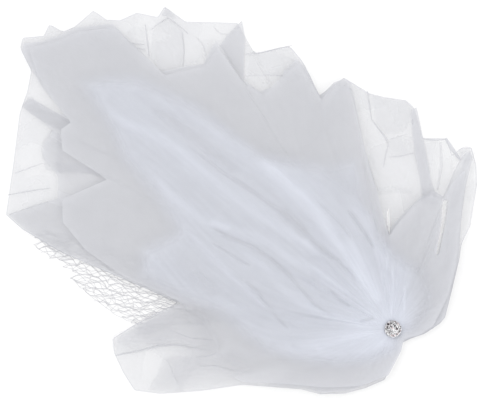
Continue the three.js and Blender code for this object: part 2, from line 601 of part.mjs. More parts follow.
function placed(geometry, seat) {
  const [x, y] = polar(seat.away, seat.turn, 0);
  return geometry.translate(x, y, plateTop(seat.away) + STONE_STAND * seat.radius);
}

function settingGeometry() {
  const rim = BROOCH_LOW + BROOCH_PLATE;
  const profile = [[0, NET_COLLAR_LOW], [SHANK_RADIUS, NET_COLLAR_LOW], [SHANK_RADIUS, BROOCH_LOW],
    [BROOCH_RADIUS, BROOCH_LOW], [BROOCH_RADIUS, rim]];
  for (let i = PLATE_STEPS - 1; i >= 0; i -= 1) {
    const radius = BROOCH_RADIUS * i / PLATE_STEPS;
    profile.push([radius, plateTop(radius)]);
  }
  let setting = solidFrom(turned(profile, PLATE_SIDES));
  const seats = stoneSeats();
  for (const seat of seats) {
    const outside = seat.radius + STONE_GAP + COLLET_WALL;
    const collet = placed(turned([
      [0, -seat.radius], [outside, -seat.radius], [outside, 0], [0, 0],
    ], STONE_SIDES), seat);
    setting = setting.add(solidFrom(collet));
  }
  for (let i = 0; i < OUTER_STONES; i += 1) {
    const [x, y] = polar(BROOCH_RADIUS - CLAW_INSET, i * 360 / OUTER_STONES, 0);
    const low = BROOCH_LOW + BROOCH_PLATE / 2;
    const claw = turned([[0, 0], [CLAW_RADIUS, 0], [CLAW_RADIUS, CLAW_HEIGHT - CLAW_RADIUS],
      [0, CLAW_HEIGHT]], CLAW_SIDES);
    setting = setting.add(solidFrom(claw.translate(x, y, low)));
  }
  for (const seat of seats) {
    setting = setting.subtract(solidFrom(placed(turned(stoneProfile(seat.radius, STONE_GAP),
      STONE_SIDES), seat)));
  }
  return geometryFrom(setting);
}

const plain = (color, roughness, metalness) => new THREE.MeshStandardMaterial({
  color, roughness, metalness,
});

function named(name, geometry, material) {
  const mesh = new THREE.Mesh(geometry, material);
  mesh.name = name;
  return mesh;
}

const veil = new THREE.Group();

const comb = named('hair_comb', combGeometry(), plain(0xe9e6e0, 0.35, 0));
comb.rotation.z = radians(COMB_TURN);
veil.add(comb);

veil.add(named('coarse_net', netGeometry(), plain(0xe4e4e6, 0.9, 0)));
TIERS.forEach(({ name, folds, color }, level) => {
  veil.add(named(name, tierGeometry(folds, level), plain(color, 0.95, 0)));
});

veil.add(named('brooch_setting', settingGeometry(), plain(0xb9bbc2, 0.25, 1)));
for (const seat of stoneSeats()) {
  const stone = placed(turned(stoneProfile(seat.radius, 0), STONE_SIDES), seat);
  veil.add(named(seat.name, stone, plain(0xf3edf2, 0.05, 0)));
}

export default veil;
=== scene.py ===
# The looks of a tulle bridal veil laid flat: four sheer tiers, a coarse net, a comb
# and a stone-set brooch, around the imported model. Metres, +Z up.

import math

import bpy
import numpy as np
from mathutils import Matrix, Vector
from mathutils.geometry import delaunay_2d_cdt


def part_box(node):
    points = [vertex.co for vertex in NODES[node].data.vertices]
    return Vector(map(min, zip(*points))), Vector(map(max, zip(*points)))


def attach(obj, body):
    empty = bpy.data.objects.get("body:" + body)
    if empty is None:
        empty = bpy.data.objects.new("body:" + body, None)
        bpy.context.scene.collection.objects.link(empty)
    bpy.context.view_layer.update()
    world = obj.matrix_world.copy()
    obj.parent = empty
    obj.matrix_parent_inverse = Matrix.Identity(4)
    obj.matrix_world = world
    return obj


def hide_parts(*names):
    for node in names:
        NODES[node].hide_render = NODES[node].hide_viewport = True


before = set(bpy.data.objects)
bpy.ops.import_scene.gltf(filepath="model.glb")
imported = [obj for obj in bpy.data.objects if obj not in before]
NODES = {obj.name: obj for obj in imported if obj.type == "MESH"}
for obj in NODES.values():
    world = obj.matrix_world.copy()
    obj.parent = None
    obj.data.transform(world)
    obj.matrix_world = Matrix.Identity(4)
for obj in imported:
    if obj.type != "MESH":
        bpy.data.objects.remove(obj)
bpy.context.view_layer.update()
BODY = "root"

# The photograph's frame: the gather's pixel, and metres for a pixel
GATHER_PX = (393.0, 329.0)
METRE_PER_PX = 0.0015
PHOTO_SIZE_PX = (480, 400)

COLLAR_RADIUS = 0.014
HOLE_RADIUS = 0.0045  # the sheets' hole round the brooch's shank
ROW_CROWDING = 1.12  # above 1, a sheet's points stand closer together at the gather
HEM_WEIGHT = 0.12  # evens out the columns between short and long reaches
TURN_SPLIT = -89.0  # turns below this belong to the far end of the fan's tables
RINGS = 7  # rings of points from a tier's hole to its hem
RING_GAP = 0.0004  # points closer than this belong to one ring
COLUMN_GAP = 0.05  # turns closer than this belong to one column
CHANCE_CELLS = 64  # the crumple's chance cells repeat after so many
LYING_LOW = 0.0005  # lowest height of a tier above the floor
SETTLING = 0.0012  # height within which a tier comes to lie on the floor
FLOOR_HEIGHT = -0.0004  # just under the comb's flat underside
FLOOR_HALF = 4.0
SOFT_HEM = (-0.010, 0.045)  # distances from its hem between which a soft hem fades in
THINNER = 0.14  # how much less dense a thin stretch is
DOUBLED = 0.20  # how much denser a tier is where it shows beside the next tier's hem
DOUBLED_WITHIN = 0.022  # the two hems lie closer than this there
DOUBLED_UNDER = 0.0045  # how far the denser stretch runs in under the next tier
GATHER_FADE = 0.09  # distance over which the gather's denser cloth thins out
GATHER_POWER = 1.2  # how abruptly it does
GATHER_DENSER = 0.3
# Painted light at the gather: lighter, bluer tulle, in the other tiers and in the upper one
GATHER_PAINTED_LIGHT, GATHER_PAINTED_LIGHT_UPPER = 0.1, 0.2
PLEAT_WANDER = 200.0  # degrees by which chance shifts the pleats
PLEAT_STARTS = (0.006, 0.03)  # radii between which the pleats begin
PLEAT_ENDS = (0.86, 1.0)  # shares of the way out between which the last ripple ends
PLEAT_FULL = 0.15  # share of its way out up to which a pleat has its full depth
PLEAT_DEPTH, PLEAT_CHANCE = 0.2, 0.2  # depth of the pleats, and how much chance changes it
PLEAT_SWING = 54.435  # degrees by which a tier's pleats together lie to and fro
PLEAT_LEAST, PLEAT_SLOPE, PLEAT_HEIGHT = 0.0001, 0.022, 0.0022  # grows outwards to the last
PLEAT_TONES = 0.02  # how much denser or thinner the pleats are
WANDER_KNOTS, DEPTH_KNOTS, TONE_KNOTS = 70, 24, 40  # knots of chance round the turn
CRUMPLE_STARTS = (0.05, 0.22)  # radii between which the crumple begins
GRAIN_KNOTS = (31, 67)  # knots round the turn of the upper tier's coarse and fine grain
GRAIN_HEIGHT, GRAIN_DENSER = 0.0002, 0.020
GRAIN_STARTS = (0.03, 0.14)  # radii between which the grain's tones begin
UPPER_HEM = (-0.004, 0.028)  # distances from its hem between which the upper tier fades in
UPPER_BRIGHT = 0.82
UPPER_DENSITIES = (0.03, 0.92)  # least and greatest density of the upper tier
UPPER_SHADED, UPPER_SHADED_SIDE = 0.7, (0.008, 0.045)  # painted shade: how much the upper tier darkens and greys, between these X right of the gather
FINE_CELL, FINE_SHARE = 0.37, 0.35  # size and depth of the fine crumple within the coarse
FACET_CELL = 0.8  # size of the stretches of one tone, as a share of the crumple's cells
EDGE_HEIGHT = 0.5  # height of the crumple's cells over their edges
FINE_TURNS = 7201  # turns at which the hem's length is added up
SOFT_ASIDES = (-5, -3, -1, 1, 3, 5)  # degrees aside over which a tier's reach is evened out
FLAP_GRID = 0.008
FLAP_MERGE = 0.0002  # closer points of a flap become one
FLAP_LIFT = 0.0012  # height of a flap above its tier
CREASE_STEP = 0.004
CREASE_ACROSS = [-0.5, -0.3, 0.0, 0.3, 0.5]  # places over a crease's width
CREASE_RISE = [0.0005, 0.0013, 0.0017, 0.0013, 0.0005]  # and their heights above the tier
FAR_FROM_RIM = 0.1  # keeps creases and flaps free of a denser rim


def from_photo(points_px):
    """Pixels of the photograph as X and Y in the row frame."""
    points = np.asarray(points_px, float)
    x = (points[:, 0] - GATHER_PX[0]) * METRE_PER_PX
    y = (GATHER_PX[1] - points[:, 1]) * METRE_PER_PX
    return np.stack([x, y], axis=1)


def smooth(low, high, value):
    share = np.clip((value - low) / (high - low), 0.0, 1.0)
    return share * share * (3.0 - 2.0 * share)


def window(low, high, turn):
    """1 between two turns, and 0 outside them, with soft ends."""
    return smooth(low, low + 4, turn) * (1 - smooth(high - 4, high, turn))


# The tiers. keep: how much of the solid's corrugation stays. pleats, pleat_out: how many
# gathers there are and how far they run out. crumple, cell: how deep and how wide the crumple
# is. density, facets: how dense the tulle is and how much that varies. next: the tier that
# lies on it. strands: 1 where its streaks follow the folds. plain_hem: 1 where the hem has no
# denser rim. soft_turns, thin_turns: the turns where the hem fades and where it is thinner.
TIERS = [
    dict(name="tulle_lower", node="lower_tier", seed=11, keep=0.45, pleats=30,
         pleat_out=0.13, crumple=0.0034, cell=0.050, density=0.385, facets=0.045,
         next=None, strands=0.0, plain_hem=0.0, soft_turns=None, thin_turns=(50, 78),
         rows=150, columns=640),
    dict(name="tulle_middle", node="middle_tier", seed=23, keep=0.40, pleats=26,
         pleat_out=0.14, crumple=0.0014, cell=0.085, density=0.46, facets=0.01,
         next="inner_tier", strands=0.0, plain_hem=1.0, soft_turns=(181, 206),
         thin_turns=None, rows=140, columns=640),
    dict(name="tulle_inner", node="inner_tier", seed=37, keep=0.40, pleats=24,
         pleat_out=0.15, crumple=0.0012, cell=0.090, density=0.58, facets=0.01,
         next=None, strands=0.0, plain_hem=1.0, soft_turns=(172, 198), thin_turns=None,
         rows=140, columns=620),
    dict(name="tulle_upper", node="upper_tier", seed=41, keep=0.30, pleats=20,
         pleat_out=0.16, crumple=0.0008, cell=0.110, density=0.42, facets=0.0,
         next=None, strands=1.0, plain_hem=1.0, soft_turns=None, thin_turns=None,
         rows=150, columns=620),
]

# The upper tier's folds draw together on their way out, towards one turn.
FLOW_TURN = 141.0
FLOW_FROM, FLOW_TO = 0.105, 0.460
FLOW_SHARE = 0.66

# Long folds of the upper tier, by their pixels from the gather outwards. half, rise, more:
# half width, rise and change of the tulle's density, in the units under the table. The
# change of density also paints light on the raised folds and shade in the hollows.
LONG_FOLDS = [
    # Raised folds
    dict(px=[(384, 312), (370, 292), (362, 280), (350, 260), (334, 240), (310, 206), (298, 192),
             (280, 176), (260, 158), (240, 142), (220, 130), (200, 121), (182, 111)],
         half=15, rise=5, more=0.22),
    dict(px=[(352, 262), (336, 240), (318, 214), (304, 198), (282, 179), (264, 162), (248, 149),
             (226, 135)], half=9, rise=2, more=0.22),
    dict(px=[(358, 300), (340, 288), (316, 270), (290, 259), (270, 243), (250, 235),
             (228, 228), (208, 223), (190, 211), (168, 193), (152, 172), (138, 157)],
         half=8, rise=5, more=0.20),
    dict(px=[(330, 262), (300, 240), (280, 228), (260, 216), (240, 203), (220, 186),
             (200, 170), (180, 152), (160, 138), (130, 125), (104, 111), (88, 98)],
         half=9, rise=4, more=0.26),
    # Light patch above the brooch, where the strands lie closest: denser, with painted light
    dict(px=[(380, 306), (368, 284), (358, 264), (350, 246), (344, 232)], half=12, rise=2,
         more=0.22),
    dict(px=[(378, 326), (362, 324), (330, 317), (302, 304), (280, 284), (262, 266),
             (244, 254), (226, 240)], half=7, rise=4, more=0.18),
    dict(px=[(282, 320), (262, 302), (240, 284), (218, 262), (196, 240), (174, 218)],
         half=4, rise=3, more=0.16),
    dict(px=[(380, 329), (360, 333), (330, 341), (294, 353), (262, 352)], half=13, rise=4,
         more=0.20),
    dict(px=[(388, 300), (384, 270), (378, 236), (362, 208), (344, 188)], half=6, rise=3,
         more=0.12),
    dict(px=[(232, 229), (220, 225), (207, 221)], half=5, rise=2, more=0.16),
    dict(px=[(252, 312), (220, 304), (180, 300), (150, 294)], half=9, rise=3, more=0.10),
    dict(px=[(184, 237), (174, 236), (163, 238), (152, 246), (144, 258)], half=2.5, rise=2,
         more=0.14),
    dict(px=[(391, 318), (392, 300), (393, 282), (391, 262)], half=3, rise=2, more=0.16),
    dict(px=[(404, 312), (404, 298), (404, 284)], half=2, rise=2, more=0.2),
    dict(px=[(386, 272), (386, 258), (387, 246)], half=1.6, rise=2, more=0.2),
    # Hollows and shadows beside them
    dict(px=[(374, 214), (354, 190), (336, 176), (318, 166)], half=15, rise=-1, more=-0.34),
    dict(px=[(361, 291), (350, 274), (336, 259), (326, 252), (312, 240), (296, 222),
             (280, 211), (264, 200), (244, 186), (224, 174), (204, 158), (180, 139)],
         half=3.6, rise=-3, more=-0.22),
    dict(px=[(306, 240), (292, 221), (278, 206)], half=9, rise=-1, more=-0.15),
    dict(px=[(240, 176), (212, 152), (190, 134), (168, 118), (146, 107)], half=9, rise=-3,
         more=-0.24),
    dict(px=[(374, 250), (363, 232), (354, 219), (344, 207)], half=3, rise=-4, more=-0.26),
    dict(px=[(352, 240), (340, 224), (326, 210), (314, 198)], half=3, rise=-3, more=-0.16),
    dict(px=[(336, 316), (326, 311), (314, 304), (300, 288), (286, 272), (270, 258),
             (252, 246), (232, 238), (212, 228), (198, 221)], half=3, rise=-3, more=-0.22),
    dict(px=[(351, 307), (340, 300), (328, 288)], half=3, rise=-2, more=-0.20),
    dict(px=[(290, 330), (278, 318), (268, 306), (258, 292), (240, 276)], half=3, rise=-2,
         more=-0.20),
    dict(px=[(252, 266), (240, 260), (222, 249), (208, 240)], half=2.6, rise=-3, more=-0.2),
    dict(px=[(318, 350), (302, 348), (288, 343)], half=4, rise=-1, more=-0.14),
    dict(px=[(375, 318), (366, 320), (358, 322)], half=2.4, rise=-3, more=-0.24),
    dict(px=[(222, 296), (204, 280), (186, 262), (172, 250)], half=14, rise=-2, more=-0.12),
    dict(px=[(296, 188), (276, 170), (256, 152), (236, 137)], half=1.6, rise=1, more=0.08),
]
FOLD_WIDTH, FOLD_HEIGHT, FOLD_STRENGTH = 0.0012, 0.00045, 0.44
FOLD_STARTS, FOLD_ENDS = (0, 0.12), (0.8, 1.0)  # shares of its length where a fold fades
FOLDS_RISE = (0.02, 0.07)  # radii between which the folds begin to rise
FOLD_PAINTED_LIGHT, FOLD_PAINTED_LIGHT_MOST = 0.5, 0.6  # painted light and shade on the folds, for each share of density, and its limit

# Creases, where a tier is doubled in a narrow line: pixels along the crease, the width in
# millimetres at each, and how dense the doubled tulle is.
CREASES = {
    "tulle_lower": [
        dict(px=[(14, 173), (28, 168), (42, 163)], width=[1.2, 2.0, 0.8], cover=0.4),
        dict(px=[(7, 195), (28, 191), (50, 188)], width=[1.6, 2.0, 0.8], cover=0.5),
        dict(px=[(145, 24), (147, 40), (149, 56)], width=[1.2, 2.2, 1.2], cover=0.6),
        dict(px=[(182, 32), (184, 48), (183, 66)], width=[1.2, 2.2, 1.2], cover=0.5),
        dict(px=[(150, 30), (158, 23), (168, 17), (176, 23), (188, 33)],
             width=[1, 1.8, 2.2, 1.8, 1.2], cover=0.5),
        dict(px=[(124, 43), (134, 43), (144, 44)], width=[0.8, 2, 0.8], cover=0.4),
        dict(px=[(128, 49), (137, 48), (145, 49)], width=[0.8, 2, 0.8], cover=0.4),
        dict(px=[(246, 54), (262, 52), (292, 45)], width=[2, 2, 1.5], cover=0.4),
        dict(px=[(368, 91), (370, 105), (372, 119)], width=[1.6, 2.4, 1.4], cover=0.5),
        dict(px=[(372, 119), (378, 127), (386, 137), (389, 144)], width=[1.4, 2.6, 3, 2],
             cover=0.45),
        dict(px=[(389, 144), (386, 155), (384, 167)], width=[2, 2.2, 1], cover=0.35),
        dict(px=[(388, 140), (397, 137), (408, 134)], width=[0.8, 2, 0.8], cover=0.25),
        dict(px=[(390, 157), (402, 156), (414, 153)], width=[1, 2.2, 1], cover=0.4),
        dict(px=[(441, 142), (442, 165), (438, 190)], width=[3, 5, 3], cover=0.3),
        dict(px=[(446, 138), (453, 149), (461, 160)], width=[4, 6, 3], cover=0.75),
        dict(px=[(425, 139), (435, 140), (446, 139)], width=[1.5, 2.5, 1.5], cover=0.5),
        dict(px=[(115, 356), (140, 351), (160, 346), (178, 345), (197, 349), (215, 352)],
             width=[2, 3.2, 3.6, 3.4, 2.4, 1], cover=0.6),
        dict(px=[(168, 362), (172, 372), (178, 385)], width=[1, 2, 1], cover=0.35),
        dict(px=[(8, 215), (30, 207), (57, 199)], width=[1, 2.2, 1], cover=0.4),
        dict(px=[(34, 60), (40, 52), (46, 42)], width=[1, 2, 1], cover=0.3),
        dict(px=[(195, 36), (203, 44), (206, 56)], width=[1, 2, 1], cover=0.25),
        dict(px=[(213, 26), (220, 33), (228, 34)], width=[1, 2, 1], cover=0.25),
    ],
    "tulle_middle": [
        dict(px=[(196, 357), (208, 356), (220, 352)], width=[1, 2, 1], cover=0.3),
        dict(px=[(200, 366), (216, 366), (236, 371), (262, 374)], width=[1, 2.4, 2, 1],
             cover=0.3),
        dict(px=[(226, 353), (236, 357), (248, 362)], width=[1, 1.8, 1], cover=0.3),
        dict(px=[(170, 330), (190, 338), (214, 340)], width=[1, 1.8, 1], cover=0.25),
        dict(px=[(245, 76), (272, 75), (300, 77)], width=[1, 2.2, 1], cover=0.4),
        dict(px=[(326, 118), (333, 98), (344, 86), (352, 90)], width=[1, 2.2, 2.6, 1.4],
             cover=0.4),
        dict(px=[(80, 142), (100, 151), (120, 160)], width=[2.4, 3, 1], cover=0.4),
    ],
}

# Flaps, where a wider stretch is folded over: its corners in pixels
FLAPS = {
    "tulle_lower": [
        dict(px=[(56, 132), (60, 133), (61.5, 150.5), (103, 178.5), (90, 174), (80, 173),
                 (62, 174), (55, 172), (56, 150)], cover=0.27),
        dict(px=[(161, 15), (165, 7), (169, 9), (176, 18), (168, 16)], cover=0.4),
        dict(px=[(125, 40), (127, 30), (134, 26), (144, 27), (146, 52), (131, 50)], cover=0.1),
        dict(px=[(21, 106), (25, 101), (30, 97), (46, 107), (60, 115), (68.5, 121.5),
                 (60.5, 131), (52, 127), (36, 117)], cover=0.56),
        dict(px=[(52, 128), (43, 139), (40, 151), (45, 170), (60, 173), (61.5, 163),
                 (61.5, 150), (60, 136)], cover=0.16),
        dict(px=[(242, 20), (245, 38), (244, 54), (243.8, 79.5), (220, 45.5), (226, 36)],
             cover=0.62),
        dict(px=[(152, 31), (159, 24), (168, 17), (176, 24), (184, 32), (182, 65), (160, 71),
                 (150, 58)], cover=0.15),
        dict(px=[(411, 115), (413, 109), (417, 107), (424, 140), (432, 182), (440, 205),
                 (423, 203), (421, 180), (415, 150)], cover=0.66),
        dict(px=[(373, 95), (392, 99), (407, 101), (413, 108), (411, 118), (407, 129),
                 (396, 134), (386, 134), (376, 123)], cover=0.15),
        dict(px=[(390, 138), (412, 136), (414, 153), (391, 156)], cover=0.10),
        dict(px=[(375, 188), (395, 186), (412, 188), (412, 194), (396, 193), (377, 195)],
             cover=0.10),
        dict(px=[(470, 150), (473, 157), (466, 176), (462, 196), (458, 237), (452, 262),
                 (446, 300), (436, 322), (438, 290), (444, 255), (447, 225), (450, 204),
                 (455, 186), (462, 166)], cover=0.27),
        dict(px=[(459, 149), (468, 145), (476, 152), (473, 160), (462, 163)], cover=0.14),
        dict(px=[(131, 328), (113, 335), (110, 347), (116, 356), (138, 351), (160, 346),
                 (170, 346), (172, 334), (162, 322)], cover=0.10),
        dict(px=[(137, 327), (175, 312), (200, 318), (214, 335), (214, 349), (200, 347),
                 (178, 344), (160, 345), (148, 346), (143, 338)], cover=0.12),
        dict(px=[(162, 359), (178, 356), (200, 358), (206, 366), (194, 370), (186, 382),
                 (182, 392), (147, 391), (157, 375)], cover=0.15),
        dict(px=[(7, 215), (30, 207.5), (57, 199), (62, 206), (63.5, 222), (72, 232), (70, 260),
                 (63, 262), (40, 241), (12, 217)], cover=0.22),
        dict(px=[(250, 52), (292, 45), (296, 60), (300, 77), (272, 75), (247, 76)],
             cover=0.10),
    ],
    "tulle_middle": [
        dict(px=[(57, 163), (75, 165), (92, 168), (112, 179), (92, 173), (75, 171),
                 (58, 173)], cover=0.45),
    ],
}

# Slits where two stretches of a tier part: pixels of a thin wedge
SLITS = [
    [(441.5, 199), (447, 200), (446, 212), (444.5, 224), (441.5, 238), (438, 255), (435.5, 254),
     (438, 238), (440.5, 224), (441, 212)],
    [(387, 213), (390, 208), (390.5, 226), (390.5, 234), (389, 232), (388, 224)],
]


def plain_mesh(name, points, faces):
    mesh = bpy.data.meshes.new(name)
    mesh.from_pydata(points, [], faces)
    mesh.update()
    piece = bpy.data.objects.new(name, mesh)
    bpy.context.scene.collection.objects.link(piece)
    return piece


def set_attribute(piece, name, values):
    layer = piece.data.attributes.new(name, "FLOAT", "POINT")
    layer.data.foreach_set("value", np.asarray(values, np.float32))


def shade_smooth(piece):
    piece.data.polygons.foreach_set("use_smooth", [True] * len(piece.data.polygons))


class Tier:
    """A tier's solid as columns of rings: turn, radius and middle height of each."""

    def __init__(self, node):
        points = np.array([v.co for v in NODES[node].data.vertices])
        turn = np.degrees(np.arctan2(points[:, 1], points[:, 0]))
        turn = np.where(turn < TURN_SPLIT, turn + 360.0, turn)
        radius = np.hypot(points[:, 0], points[:, 1])
        order = np.argsort(turn)
        breaks = np.flatnonzero(np.diff(turn[order]) > COLUMN_GAP) + 1
        self.turns, self.radii, self.heights = [], [], []
        for group in np.split(order, breaks):
            rings = self.rings(radius[group], points[group, 2])
            if len(rings) == RINGS:
                self.turns.append(float(np.mean(turn[group])))
                self.radii.append([r for r, _ in rings])
                self.heights.append([z for _, z in rings])
        self.turns = np.array(self.turns)
        self.radii = np.array(self.radii)
        self.heights = np.array(self.heights)
        self.hem = self.radii[:, -1, None] * np.stack(
            [np.cos(np.radians(self.turns)), np.sin(np.radians(self.turns))], axis=1)

    @staticmethod
    def rings(radius, height):
        order = np.argsort(radius)
        found = []
        for i in order:
            if not found or radius[i] - found[-1][0] > RING_GAP:
                found.append([radius[i], [height[i]]])
            else:
                found[-1][1].append(height[i])
        return [(r, (min(z) + max(z)) / 2) for r, z in found]

    def flattened(self, keep):
        """Part of each column's own height, and the rest from its neighbours."""
        near = (np.roll(self.heights, 1, 0) + np.roll(self.heights, -1, 0)) / 2
        wide = (np.roll(near, 1, 0) + near + np.roll(near, -1, 0)) / 3
        self.heights = keep * self.heights + (1 - keep) * wide

    def between(self, turn):
        """The columns on both sides of each turn, and the share of the way."""
        turns = np.append(self.turns, self.turns[0] + 360.0)
        turn = (turn - self.turns[0]) % 360.0 + self.turns[0]
        left = np.clip(np.searchsorted(turns, turn, side="right") - 1, 0, len(turns) - 2)
        share = (turn - turns[left]) / (turns[left + 1] - turns[left])
        return left, (left + 1) % len(self.turns), share

    def reach(self, turn):
        """Distance from the gather to the hem's straight stretch at each turn."""
        left, right, _ = self.between(turn)
        start, step = self.hem[left], self.hem[right] - self.hem[left]
        ray = np.stack([np.cos(np.radians(turn)), np.sin(np.radians(turn))], axis=-1)
        cross = start[..., 0] * step[..., 1] - start[..., 1] * step[..., 0]
        return cross / (ray[..., 0] * step[..., 1] - ray[..., 1] * step[..., 0])

    def soft_reach(self, turn):
        """The reach without its jumps at the sides of the hem's lobes."""
        return sum(self.reach(turn + aside) for aside in SOFT_ASIDES) / len(SOFT_ASIDES)

    def height(self, turn, radius):
        left, right, share = self.between(turn)
        share = share * share * (3 - 2 * share)
        full = np.maximum(self.soft_reach(turn) - COLLAR_RADIUS, 1e-4)
        way = (radius - COLLAR_RADIUS) / full
        steps = self.radii[0, 1:] - self.radii[0, 1]
        steps = steps / steps[-1]
        heights = []
        for column in (left, right):
            z = np.empty_like(way)
            for ring in range(RINGS - 1):
                low, high = steps[ring], steps[min(ring + 1, RINGS - 2)]
                here = way >= low if ring else np.ones_like(way, bool)
                part = np.clip((way - low) / max(high - low, 1e-6), 0, 1)
                a = self.heights[column, ring + 1]
                b = self.heights[column, min(ring + 2, RINGS - 1)]
                z = np.where(here, a + (b - a) * part, z)
            heights.append(z)
        return heights[0] * (1 - share) + heights[1] * share


def chance_cells(x, y, cell, seed):
    """Crumple: a net of chance cells.

    Gives the distances to the nearest two cells' middles, in cells, and the nearest one's
    tone, a chance value from -1 to 1.
    """
    rng = np.random.default_rng(seed)
    offsets = rng.random((CHANCE_CELLS, CHANCE_CELLS, 2))
    tones = rng.uniform(-1, 1, (CHANCE_CELLS, CHANCE_CELLS))
    gx, gy = np.floor(x / cell).astype(int), np.floor(y / cell).astype(int)
    nearest = np.full(x.shape, 9.0)
    second = np.full(x.shape, 9.0)
    tone = np.zeros(x.shape)
    for i in (-1, 0, 1):
        for j in (-1, 0, 1):
            column, row = (gx + i) % CHANCE_CELLS, (gy + j) % CHANCE_CELLS
            offset = offsets[column, row]
            away = np.hypot(gx + i + offset[..., 0] - x / cell,
                            gy + j + offset[..., 1] - y / cell)
            tone = np.where(away < nearest, tones[column, row], tone)
            second = np.minimum(second, np.maximum(nearest, away))
            nearest = np.minimum(nearest, away)
    return nearest, second, tone


def edge_height(x, y, cell, seed):
    """Crumple's height, from low at the cells' edges to high inside, about 0."""
    nearest, second, _ = chance_cells(x, y, cell, seed)
    return np.minimum(second - nearest, EDGE_HEIGHT) - EDGE_HEIGHT / 2


def line_noise(value, seed, knots=720):
    """Smooth chance values along one turn, from -1 to 1."""
    rng = np.random.default_rng(seed)
    table = rng.uniform(-1, 1, knots)
    place = (value % 360.0) / 360.0 * knots
    low = np.floor(place).astype(int)
    share = place - low
    share = share * share * (3 - 2 * share)
    return table[low % knots] * (1 - share) + table[(low + 1) % knots] * share


def distance_to_line(x, y, line):
    """Distance to a run of straight stretches, and the share of the way along it."""
    best = np.full(x.shape, 9.0)
    along = np.zeros(x.shape)
    lengths = np.hypot(*np.diff(line, axis=0).T)
    total, done = lengths.sum(), 0.0
    for (ax, ay), (bx, by), length in zip(line[:-1], line[1:], lengths):
        share = np.clip(((x - ax) * (bx - ax) + (y - ay) * (by - ay)) / length ** 2, 0, 1)
        away = np.hypot(x - ax - share * (bx - ax), y - ay - share * (by - ay))
        closer = away < best
        best = np.where(closer, away, best)
        along = np.where(closer, (done + share * length) / total, along)
        done += length
    return best, along


def in_polygon(x, y, corners):
    inside = np.zeros(x.shape, bool)
    for (ax, ay), (bx, by) in zip(corners, np.roll(corners, -1, axis=0)):
        crosses = (ay > y) != (by > y)
        slope = (bx - ax) / (by - ay) if by != ay else 0.0
        inside ^= crosses & (x < ax + slope * (y - ay))
    return inside


def even_turns(tier, count):
    """Turns spaced so that they stand about evenly along the hem."""
    fine = np.linspace(0, 360, FINE_TURNS) + tier.turns[0]
    weight = tier.reach(fine) + HEM_WEIGHT
    total = np.concatenate([[0], np.cumsum((weight[1:] + weight[:-1]) / 2)])
    spots = np.linspace(0, total[-1], count + 1)[:-1]
    return np.interp(spots, total, fine)


def strand_turn(turn, radius):
    """The turn at the gather of the strand that passes through a point.

    The strands bend towards one turn on their way out.
    """
    pull = FLOW_SHARE * smooth(FLOW_FROM, FLOW_TO, radius)
    return FLOW_TURN + (turn - FLOW_TURN) / (1 - pull)


def long_fold_marks(x, y):
    """Rise and added density of the upper tier's long folds."""
    rise = np.zeros(x.shape)
    more = np.zeros(x.shape)
    for fold in LONG_FOLDS:
        away, along = distance_to_line(x, y, from_photo(fold["px"]))
        half = fold["half"] * FOLD_WIDTH * (0.5 + 0.5 * np.sin(np.pi * np.clip(along, 0.02, 0.98)))
        fade = smooth(*FOLD_STARTS, along) * (1 - smooth(*FOLD_ENDS, along))
        mark = np.exp(-(away / half) ** 2) * fade
        rise += mark * fold["rise"] * FOLD_HEIGHT
        more += mark * fold["more"] * FOLD_STRENGTH
    return rise, more


def pleated(spec, turn, share, radius):
    """Gathers: the cloth runs to and fro round the gather, so it lies in pleats there.

    Gives the points' turns, the height that the pleats add and how they fade outwards.
    """
    phase = np.radians(spec["pleats"] * turn
                       + PLEAT_WANDER * line_noise(turn, spec["seed"], WANDER_KNOTS))
    fading = 1 - smooth(PLEAT_FULL * spec["pleat_out"], spec["pleat_out"], radius)
    chance = line_noise(turn, spec["seed"] + 1, DEPTH_KNOTS)
    strength = (PLEAT_DEPTH + PLEAT_CHANCE * chance) * fading ** 2
    swing = PLEAT_SWING / spec["pleats"] * strength
    stiff = smooth(*PLEAT_STARTS, radius) * (1 - smooth(*PLEAT_ENDS, share))
    height = np.minimum(PLEAT_HEIGHT, PLEAT_SLOPE * radius + PLEAT_LEAST)
    return turn + swing * np.sin(phase) * stiff, np.cos(phase) * strength * stiff * height, fading


def crumpled(spec, x, y):
    coarse = edge_height(x, y, spec["cell"], spec["seed"])
    fine = edge_height(x, y, spec["cell"] * FINE_CELL, spec["seed"] + 3)
    return spec["crumple"] * (coarse + FINE_SHARE * fine)


def hem_changes(spec, density, turn, radius, reach, rim, out):
    """Where the tier is doubled beside the next one's hem, fades at its own, or is thinner."""
    if spec["next"]:
        inner_reach = Tier(spec["next"]).reach(turn)
        band = (radius > inner_reach - DOUBLED_UNDER) & (reach - inner_reach < DOUBLED_WITHIN)
        density = density + DOUBLED * band
    if spec["soft_turns"]:
        soft = window(*spec["soft_turns"], turn)
        density = density * (1 - soft * (1 - smooth(*SOFT_HEM, rim)))
    if spec["thin_turns"]:
        density = density - THINNER * window(*spec["thin_turns"], turn) * out
    return density


def folded(spec, density, gathered, strand, x, y, radius, rim, out):
    """The upper tier's long folds and grain: height to add, density, and tint with painted light
    and shade.
    """
    rise, more = long_fold_marks(x, y)
    grain = sum(line_noise(strand, spec["seed"] + knots, knots) for knots in GRAIN_KNOTS)
    height = rise * smooth(*FOLDS_RISE, radius) + GRAIN_HEIGHT * grain * out
    density = density + more + GRAIN_DENSER * grain * smooth(*GRAIN_STARTS, radius)
    density = np.clip(density, *UPPER_DENSITIES) * smooth(*UPPER_HEM, rim)
    # Painted light on the raised folds and painted shade in the hollows
    tint_and_painted_light = UPPER_BRIGHT + FOLD_PAINTED_LIGHT * np.clip(more, -FOLD_PAINTED_LIGHT_MOST, FOLD_PAINTED_LIGHT_MOST)
    tint_and_painted_light = tint_and_painted_light + GATHER_PAINTED_LIGHT_UPPER * gathered
    # Painted shade on the upper tier right of the gather
    return height, density, tint_and_painted_light * (1 - UPPER_SHADED * smooth(*UPPER_SHADED_SIDE, x))


